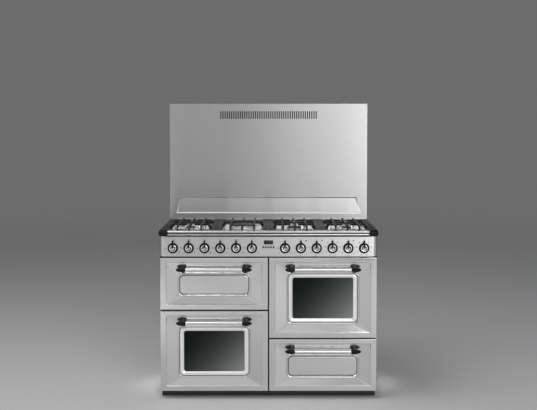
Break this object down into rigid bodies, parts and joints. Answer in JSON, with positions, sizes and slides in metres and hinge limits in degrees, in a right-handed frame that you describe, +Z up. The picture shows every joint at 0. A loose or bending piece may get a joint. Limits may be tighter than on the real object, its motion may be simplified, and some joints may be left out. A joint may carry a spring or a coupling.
{
  "type": "range cooker",
  "caption": "Freestanding steel range cooker: gas hob with cast-iron pan supports, drop-down oven doors, storage drawer, turning knobs and a vented splashback.",
  "frame": {"origin": "on the floor, under the middle of the whole box with its handles", "axes": "+X to the right of someone facing the cooker, +Y from the doors to the wall, +Z up"},
  "size_m": [1.1, 0.64, 1.494],
  "materials": {
    "polished_steel": "polished stainless steel",
    "satin_steel": "satin stainless steel",
    "grey_steel": "galvanised sheet steel",
    "black_paint": "satin black paint on steel",
    "black_plastic": "black plastic",
    "dark_enamel": "dark vitreous enamel on steel",
    "cast_iron": "matt black cast iron",
    "aluminium": "cast aluminium",
    "brass": "plain brass",
    "bright_wire": "chromed wire",
    "element": "dull heating element sheath",
    "dark_glass": "tinted oven glass",
    "seal": "woven dark seal"
  },
  "bodies": {
    "cooker": {"hob_front_rail": "polished_steel", "splashback": "satin_steel", "hob_top": "satin_steel", "control_panel": "satin_steel", "base_frame": "grey_steel", "side_panels": "grey_steel", "back_panel": "grey_steel", "fasteners": "grey_steel", "drawer_slides": "grey_steel", "fan_motors": "grey_steel", "hinge_brackets": "grey_steel", "front_frame": "black_paint", "plinth": "black_paint", "hob_corner_caps": "black_plastic", "levelling_feet": "black_plastic", "oven_controls": "black_plastic", "oven_cavities": "dark_enamel", "burner_caps": "dark_enamel", "burner_bodies": "aluminium", "gas_rail": "brass", "oven_shelves": "bright_wire", "heating_elements": "element", "door_seals": "seal"},
    "grill_door": {"grill_door_skin": "polished_steel", "grill_door_liner": "grey_steel", "grill_door_handle": "polished_steel"},
    "main_door": {"main_door_skin": "polished_steel", "main_door_glass": "dark_glass", "main_door_liner": "grey_steel", "main_door_handle": "polished_steel"},
    "second_door": {"second_door_skin": "polished_steel", "second_door_glass": "dark_glass", "second_door_liner": "grey_steel", "second_door_handle": "polished_steel"},
    "drawer": {"drawer_front": "polished_steel", "drawer_box": "grey_steel", "drawer_handle": "polished_steel"},
    "gas_knob_1": {"gas_knob_1": "polished_steel"},
    "gas_knob_2": {"gas_knob_2": "polished_steel"},
    "gas_knob_3": {"gas_knob_3": "polished_steel"},
    "gas_knob_4": {"gas_knob_4": "polished_steel"},
    "gas_knob_5": {"gas_knob_5": "polished_steel"},
    "gas_knob_6": {"gas_knob_6": "polished_steel"},
    "gas_knob_7": {"gas_knob_7": "polished_steel"},
    "oven_knob_1": {"oven_knob_1": "polished_steel"},
    "programmer_button_1": {"programmer_button_1": "black_plastic"},
    "oven_knob_2": {"oven_knob_2": "polished_steel"},
    "programmer_button_2": {"programmer_button_2": "black_plastic"},
    "oven_knob_3": {"oven_knob_3": "polished_steel"},
    "programmer_button_3": {"programmer_button_3": "black_plastic"},
    "oven_knob_4": {"oven_knob_4": "polished_steel"},
    "programmer_button_4": {"programmer_button_4": "black_plastic"},
    "oven_knob_5": {"oven_knob_5": "polished_steel"},
    "programmer_button_5": {"programmer_button_5": "black_plastic"},
    "pan_support_1": {"pan_support_1": "cast_iron"},
    "pan_support_2": {"pan_support_2": "cast_iron"},
    "pan_support_3": {"pan_support_3": "cast_iron"},
    "pan_support_4": {"pan_support_4": "cast_iron"},
    "main_oven_fan": {"main_oven_fan": "grey_steel"},
    "second_oven_fan": {"second_oven_fan": "grey_steel"}
  },
  "joints": [
    {"name": "grill_door_hinge", "type": "hinge", "parent": "cooker", "child": "grill_door", "pos_m": [-0.2735, -0.268, 0.467], "axis": [1, 0, 0], "range_deg": [0, 85], "stiffness_Nm_per_rad": 1.2, "springref_deg": -22.92},
    {"name": "main_door_hinge", "type": "hinge", "parent": "cooker", "child": "main_door", "pos_m": [-0.2735, -0.268, 0.054], "axis": [1, 0, 0], "range_deg": [0, 85], "stiffness_Nm_per_rad": 4, "springref_deg": -22.92},
    {"name": "second_door_hinge", "type": "hinge", "parent": "cooker", "child": "second_door", "pos_m": [0.2735, -0.268, 0.324], "axis": [1, 0, 0], "range_deg": [0, 85], "stiffness_Nm_per_rad": 4, "springref_deg": -22.92},
    {"name": "drawer_slide", "type": "slide", "parent": "cooker", "child": "drawer", "axis": [0, -1, 0], "range_m": [0, 0.29]},
    {"name": "gas_knob_1_turn", "type": "hinge", "parent": "cooker", "child": "gas_knob_1", "pos_m": [-0.479, -0.286, 0.766], "axis": [0, -1, 0], "range_deg": [0, 200]},
    {"name": "gas_knob_2_turn", "type": "hinge", "parent": "cooker", "child": "gas_knob_2", "pos_m": [-0.3998, -0.286, 0.766], "axis": [0, -1, 0], "range_deg": [0, 200]},
    {"name": "gas_knob_3_turn", "type": "hinge", "parent": "cooker", "child": "gas_knob_3", "pos_m": [-0.3206, -0.286, 0.766], "axis": [0, -1, 0], "range_deg": [0, 200]},
    {"name": "gas_knob_4_turn", "type": "hinge", "parent": "cooker", "child": "gas_knob_4", "pos_m": [-0.2414, -0.286, 0.766], "axis": [0, -1, 0], "range_deg": [0, 200]},
    {"name": "gas_knob_5_turn", "type": "hinge", "parent": "cooker", "child": "gas_knob_5", "pos_m": [-0.1622, -0.286, 0.766], "axis": [0, -1, 0], "range_deg": [0, 200]},
    {"name": "gas_knob_6_turn", "type": "hinge", "parent": "cooker", "child": "gas_knob_6", "pos_m": [-0.083, -0.286, 0.766], "axis": [0, -1, 0], "range_deg": [0, 200]},
    {"name": "gas_knob_7_turn", "type": "hinge", "parent": "cooker", "child": "gas_knob_7", "pos_m": [0.083, -0.286, 0.766], "axis": [0, -1, 0], "range_deg": [0, 200]},
    {"name": "oven_knob_1_turn", "type": "hinge", "parent": "cooker", "child": "oven_knob_1", "pos_m": [0.1622, -0.286, 0.766], "axis": [0, 1, 0], "range_deg": [0, 285]},
    {"name": "oven_knob_2_turn", "type": "hinge", "parent": "cooker", "child": "oven_knob_2", "pos_m": [0.2414, -0.286, 0.766], "axis": [0, 1, 0], "range_deg": [0, 285]},
    {"name": "oven_knob_3_turn", "type": "hinge", "parent": "cooker", "child": "oven_knob_3", "pos_m": [0.3206, -0.286, 0.766], "axis": [0, 1, 0], "continuous": true},
    {"name": "oven_knob_4_turn", "type": "hinge", "parent": "cooker", "child": "oven_knob_4", "pos_m": [0.3998, -0.286, 0.766], "axis": [0, 1, 0], "range_deg": [0, 285]},
    {"name": "oven_knob_5_turn", "type": "hinge", "parent": "cooker", "child": "oven_knob_5", "pos_m": [0.479, -0.286, 0.766], "axis": [0, 1, 0], "continuous": true},
    {"name": "programmer_button_1_press", "type": "slide", "parent": "cooker", "child": "programmer_button_1", "axis": [0, 1, 0], "range_m": [0, 0.0015], "stiffness_N_per_m": 400, "springref_m": -0.001},
    {"name": "programmer_button_2_press", "type": "slide", "parent": "cooker", "child": "programmer_button_2", "axis": [0, 1, 0], "range_m": [0, 0.0015], "stiffness_N_per_m": 400, "springref_m": -0.001},
    {"name": "programmer_button_3_press", "type": "slide", "parent": "cooker", "child": "programmer_button_3", "axis": [0, 1, 0], "range_m": [0, 0.0015], "stiffness_N_per_m": 400, "springref_m": -0.001},
    {"name": "programmer_button_4_press", "type": "slide", "parent": "cooker", "child": "programmer_button_4", "axis": [0, 1, 0], "range_m": [0, 0.0015], "stiffness_N_per_m": 400, "springref_m": -0.001},
    {"name": "programmer_button_5_press", "type": "slide", "parent": "cooker", "child": "programmer_button_5", "axis": [0, 1, 0], "range_m": [0, 0.0015], "stiffness_N_per_m": 400, "springref_m": -0.001},
    {"name": "pan_support_1_lift", "type": "slide", "parent": "cooker", "child": "pan_support_1", "axis": [0, 0, 1], "range_m": [0, 0.08]},
    {"name": "pan_support_2_lift", "type": "slide", "parent": "cooker", "child": "pan_support_2", "axis": [0, 0, 1], "range_m": [0, 0.08]},
    {"name": "pan_support_3_lift", "type": "slide", "parent": "cooker", "child": "pan_support_3", "axis": [0, 0, 1], "range_m": [0, 0.08]},
    {"name": "pan_support_4_lift", "type": "slide", "parent": "cooker", "child": "pan_support_4", "axis": [0, 0, 1], "range_m": [0, 0.08]},
    {"name": "main_oven_fan_spin", "type": "hinge", "parent": "cooker", "child": "main_oven_fan", "pos_m": [-0.2735, 0.174, 0.2465], "axis": [0, 1, 0], "continuous": true},
    {"name": "second_oven_fan_spin", "type": "hinge", "parent": "cooker", "child": "second_oven_fan", "pos_m": [0.2735, 0.174, 0.5165], "axis": [0, 1, 0], "continuous": true}
  ]
}
